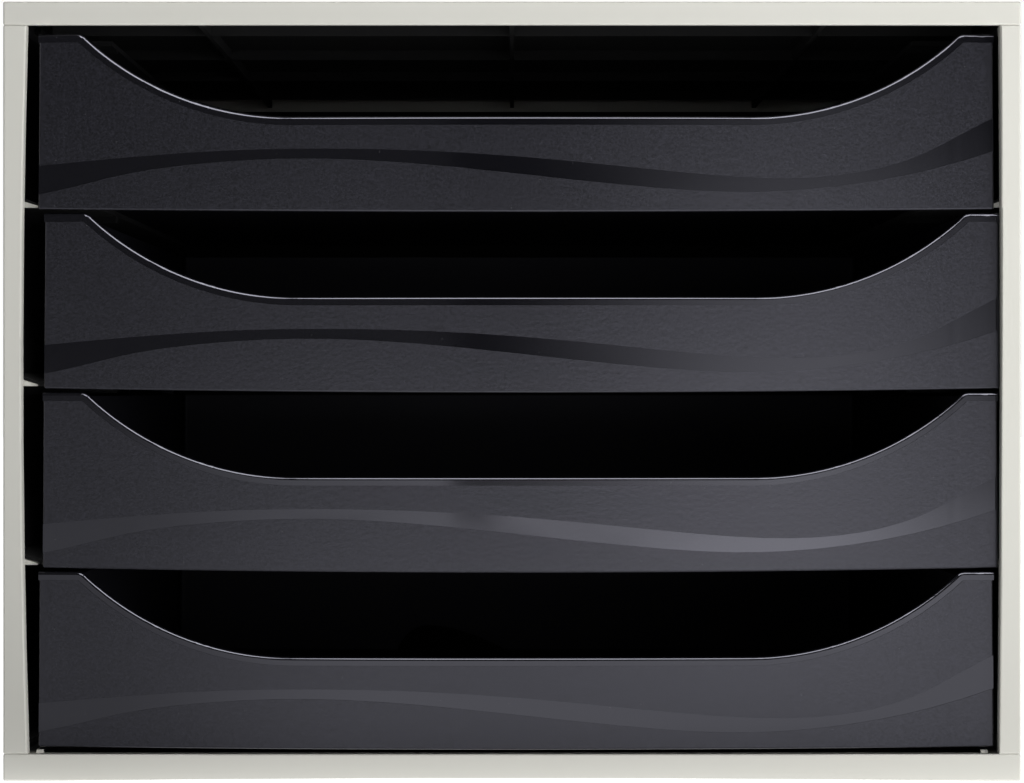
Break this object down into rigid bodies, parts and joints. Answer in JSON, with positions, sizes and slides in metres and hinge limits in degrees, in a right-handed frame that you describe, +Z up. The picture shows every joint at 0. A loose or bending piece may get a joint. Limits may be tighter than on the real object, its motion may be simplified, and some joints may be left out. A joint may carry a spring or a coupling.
{
  "type": "letter tray stack with drawers",
  "caption": "Low desktop drawer cabinet for letter-size paper, with a pale casing and dark sliding trays whose scooped fronts carry a flowing stripe.",
  "frame": {"origin": "on the surface the feet stand on, under the middle of the whole with its bowed fronts", "axes": "+Z up, the drawer fronts face -Y, +X is to the right as seen from the front"},
  "size_m": [0.284, 0.387, 0.218],
  "materials": {
    "casing": "fine satin moulded polystyrene, warm light grey",
    "feet": "matt black rubber",
    "drawers": "black moulded polystyrene, fine spark texture on the fronts with smooth bands"
  },
  "bodies": {
    "casing": {"top_panel": "casing", "bottom_panel": "casing", "left_side_panel": "casing", "right_side_panel": "casing", "back_panel": "casing", "front_left_foot": "feet", "front_right_foot": "feet", "rear_left_foot": "feet", "rear_right_foot": "feet"},
    "drawer_1": {"drawer_1": "drawers"},
    "drawer_2": {"drawer_2": "drawers"},
    "drawer_3": {"drawer_3": "drawers"},
    "drawer_4": {"drawer_4": "drawers"}
  },
  "joints": [
    {"name": "drawer_1_slide", "type": "slide", "parent": "casing", "child": "drawer_1", "axis": [0, -1, 0], "range_m": [0, 0.29]},
    {"name": "drawer_2_slide", "type": "slide", "parent": "casing", "child": "drawer_2", "axis": [0, -1, 0], "range_m": [0, 0.29]},
    {"name": "drawer_3_slide", "type": "slide", "parent": "casing", "child": "drawer_3", "axis": [0, -1, 0], "range_m": [0, 0.29]},
    {"name": "drawer_4_slide", "type": "slide", "parent": "casing", "child": "drawer_4", "axis": [0, -1, 0], "range_m": [0, 0.29]}
  ]
}
